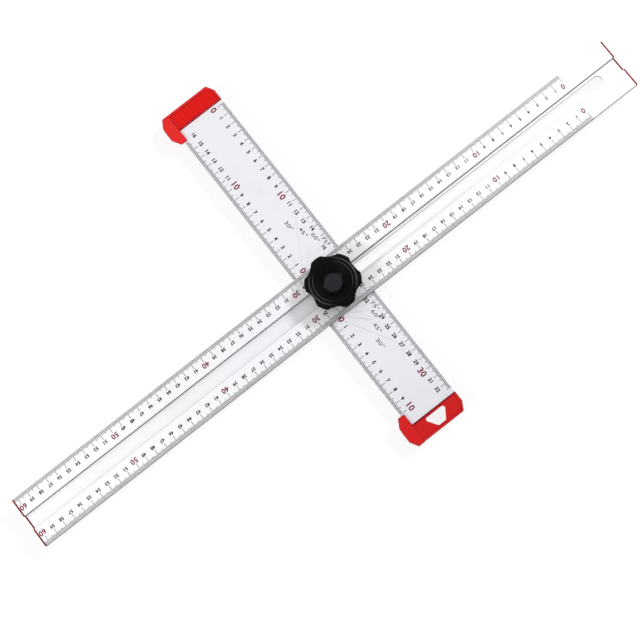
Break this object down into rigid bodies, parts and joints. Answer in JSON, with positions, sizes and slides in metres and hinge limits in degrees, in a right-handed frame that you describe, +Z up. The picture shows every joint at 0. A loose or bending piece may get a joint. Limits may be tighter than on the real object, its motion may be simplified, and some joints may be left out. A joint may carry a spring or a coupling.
{
  "type": "adjustable set square",
  "caption": "Adjustable T-square: a slotted rule slides and swings over a cross head with hooked end caps, and a lobed knob clamps it.",
  "frame": {"origin": "on the clamp axis, in the plane of the head blade's underside", "axes": "+X along the rule towards its zero end, +Y along the head towards its zero end, +Z up through the clamp knob"},
  "size_m": [0.655, 0.37, 0.0414],
  "materials": {
    "rule_alloy": "white silver anodised, satin",
    "blade_alloy": "silver anodised, satin",
    "red_plastic": "moulded, fine texture",
    "deep_red_plastic": "moulded, fine texture",
    "black_plastic": "moulded, semi-gloss",
    "grey_plastic": "moulded, satin",
    "slide_plastic": "moulded, satin",
    "steel": "zinc plated",
    "brass": "turned"
  },
  "bodies": {
    "head": {"head_blade": "blade_alloy", "upper_hook_cap": "red_plastic", "lower_hook_cap": "deep_red_plastic", "upper_cap_screws": "steel", "lower_cap_screws": "steel", "clamp_stud": "steel", "swivel_washer": "slide_plastic"},
    "slider": {"slide_block": "slide_plastic"},
    "rule": {"long_rule": "rule_alloy", "zero_end_cap": "deep_red_plastic", "far_end_cap": "deep_red_plastic"},
    "washer": {"thrust_washer": "steel"},
    "knob": {"knob_body": "black_plastic", "knob_insert": "brass", "knob_cap_plug": "grey_plastic", "washer_snap_ring": "steel"}
  },
  "joints": [
    {"name": "rule_swing", "type": "hinge", "parent": "head", "child": "slider", "pos_m": [0, 0, 0.006], "axis": [0, 0, 1], "range_deg": [-65, 65]},
    {"name": "rule_slide", "type": "slide", "parent": "slider", "child": "rule", "axis": [1, 0, 0], "range_m": [-0.2915, 0.0035]},
    {"name": "knob_lift", "type": "slide", "parent": "head", "child": "washer", "axis": [0, 0, 1], "range_m": [0, 0.005]},
    {"name": "knob_turn", "type": "hinge", "parent": "washer", "child": "knob", "pos_m": [0, 0, 0.02], "axis": [0, 0, 1], "range_deg": [0, 1802]}
  ],
  "couplings": [
    {"joint": "knob_turn", "follows": "knob_lift", "rad_per_m": 6283.2}
  ]
}
